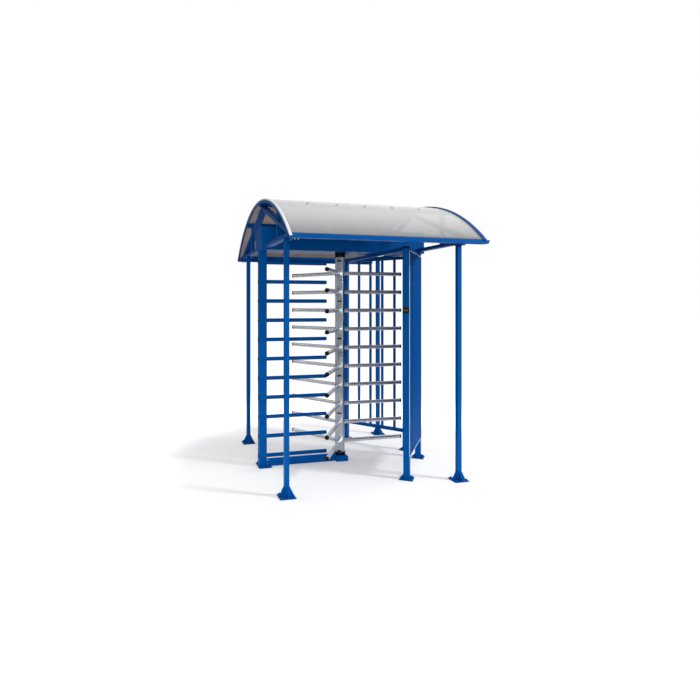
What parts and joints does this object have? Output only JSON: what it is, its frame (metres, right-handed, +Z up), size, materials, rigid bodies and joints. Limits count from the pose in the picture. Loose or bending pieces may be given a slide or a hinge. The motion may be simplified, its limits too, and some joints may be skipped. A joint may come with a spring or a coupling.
{
  "type": "full-height turnstile",
  "caption": "Full-height turnstile: a rotor of tube arms turns through a fixed comb, beside a guide cage and under an arched canopy on square posts.",
  "frame": {"origin": "on the floor plane, on the rotor's axis, under the bearing block", "axes": "+Z up along the rotor axis, +X to the right along the front from the comb to the guide cage, +Y to the back"},
  "size_m": [1.7598, 2.5122, 2.5988],
  "materials": {
    "blue_paint": "gloss",
    "satin_steel": "satin",
    "bare_steel": "turned",
    "black_paint": "satin",
    "black_rubber": "matte",
    "black_plastic": "matte",
    "roof_sheet": "translucent twin-wall sheet",
    "aluminium_trim": "satin"
  },
  "bodies": {
    "frame": {"comb_post": "blue_paint", "comb_bars": "blue_paint", "comb_bar_plugs": "black_plastic", "floor_beam": "blue_paint", "bearing_block": "blue_paint", "lower_bearing": "black_paint", "upper_bearing": "black_paint", "housing_tray": "blue_paint", "housing_lid": "blue_paint", "guide_front_post": "blue_paint", "guide_side_front_post": "blue_paint", "guide_side_rear_post": "blue_paint", "guide_rear_post": "blue_paint", "guide_post_caps": "black_plastic", "guide_top_frame": "blue_paint", "guide_closing_rail": "blue_paint", "guide_side_grille": "blue_paint", "guide_rear_grille": "blue_paint", "guide_front_panel": "blue_paint", "indicator": "black_plastic", "front_left_post": "blue_paint", "front_right_post": "blue_paint", "rear_left_post": "blue_paint", "rear_right_post": "blue_paint", "left_ties": "blue_paint", "right_ties": "blue_paint", "front_beam": "blue_paint", "rear_beam": "blue_paint", "left_arch": "blue_paint", "right_arch": "blue_paint", "left_gable_truss": "blue_paint", "right_gable_truss": "blue_paint", "purlins": "blue_paint", "roof_sheet": "roof_sheet", "arch_gasket": "black_rubber", "arch_trims": "aluminium_trim"},
    "rotor": {"rotor_column": "satin_steel", "wing_a_arms": "satin_steel", "wing_b_arms": "satin_steel", "wing_c_arms": "satin_steel", "arm_caps": "black_plastic", "column_plugs": "black_plastic", "rotor_journals": "bare_steel"}
  },
  "joints": [
    {"name": "rotor_turn", "type": "hinge", "parent": "frame", "child": "rotor", "pos_m": [0, 0, 0], "axis": [0, 0, 1], "continuous": true}
  ]
}
